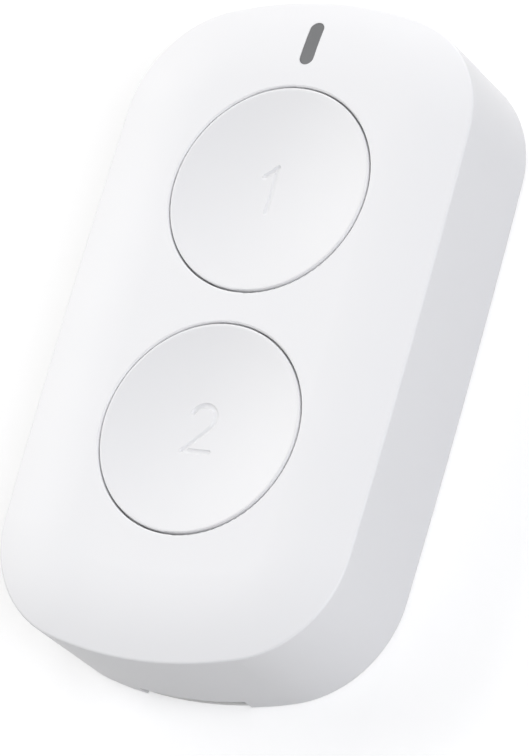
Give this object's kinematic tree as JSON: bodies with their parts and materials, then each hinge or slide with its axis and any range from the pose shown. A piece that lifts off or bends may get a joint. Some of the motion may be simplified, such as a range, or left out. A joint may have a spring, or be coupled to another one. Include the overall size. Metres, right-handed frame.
{
  "type": "smart button",
  "caption": "Handheld wireless smart button: soft white rectangular body with a gently crowned face, round dished press keys marked by fine digits and a small indicator window.",
  "frame": {"origin": "centre of the back face, on the plane that the button lies on", "axes": "+Z out of the face towards the user, +Y along the length towards the indicator window, +X across the width so that the digits read upright"},
  "size_m": [0.0434, 0.0764, 0.0152],
  "materials": {
    "white_shell": "fine satin",
    "white_cover": "fine satin",
    "white_caps": "fine satin",
    "grey_window": "translucent smooth",
    "frame_plastic": "plain moulded",
    "screw_steel": "zinc plated",
    "board_green": "solder mask",
    "switch_black": "plain moulded",
    "sheet_steel": "tinned sheet",
    "plunger_plastic": "plain moulded",
    "led_resin": "cast resin",
    "chip_black": "moulded epoxy",
    "crystal_can": "plated can",
    "antenna_body": "fired ceramic",
    "passive_body": "fired ceramic with tinned ends",
    "cell_can": "printed sleeve",
    "contact_plate": "nickel plated spring steel"
  },
  "bodies": {
    "cover": {"rear_cover": "white_cover"},
    "housing": {"front_housing": "white_shell", "light_guide": "grey_window", "inner_frame": "frame_plastic", "frame_screws": "screw_steel", "circuit_board": "board_green", "switch_1_body": "switch_black", "switch_1_cover": "sheet_steel", "switch_1_leads": "sheet_steel", "switch_2_body": "switch_black", "switch_2_cover": "sheet_steel", "switch_2_leads": "sheet_steel", "led_chip": "led_resin", "radio_chip": "chip_black", "crystal": "crystal_can", "chip_antenna": "antenna_body", "passive_parts": "passive_body", "positive_contact": "contact_plate", "negative_contact": "contact_plate"},
    "cell": {"battery_cell": "cell_can"},
    "key_1": {"button_cap_1": "white_caps"},
    "key_2": {"button_cap_2": "white_caps"},
    "plunger_1": {"switch_1_plunger": "plunger_plastic"},
    "plunger_2": {"switch_2_plunger": "plunger_plastic"}
  },
  "joints": [
    {"name": "housing_lift", "type": "slide", "parent": "cover", "child": "housing", "axis": [0, 0, 1], "range_m": [0, 0.012]},
    {"name": "battery_lift_out", "type": "slide", "parent": "housing", "child": "cell", "axis": [0, 0, -1], "range_m": [0, 0.012]},
    {"name": "button_1_press", "type": "slide", "parent": "housing", "child": "key_1", "axis": [0, 0, -1], "range_m": [0, 0.0004], "stiffness_N_per_m": 3000, "springref_m": -0.0003},
    {"name": "button_2_press", "type": "slide", "parent": "housing", "child": "key_2", "axis": [0, 0, -1], "range_m": [0, 0.0004], "stiffness_N_per_m": 3000, "springref_m": -0.0003},
    {"name": "switch_1_travel", "type": "slide", "parent": "housing", "child": "plunger_1", "axis": [0, 0, -1], "range_m": [0, 0.0004]},
    {"name": "switch_2_travel", "type": "slide", "parent": "housing", "child": "plunger_2", "axis": [0, 0, -1], "range_m": [0, 0.0004]}
  ],
  "couplings": [
    {"joint": "battery_lift_out", "follows": "housing_lift", "ratio": 1},
    {"joint": "switch_1_travel", "follows": "button_1_press", "ratio": 1},
    {"joint": "switch_2_travel", "follows": "button_2_press", "ratio": 1}
  ]
}
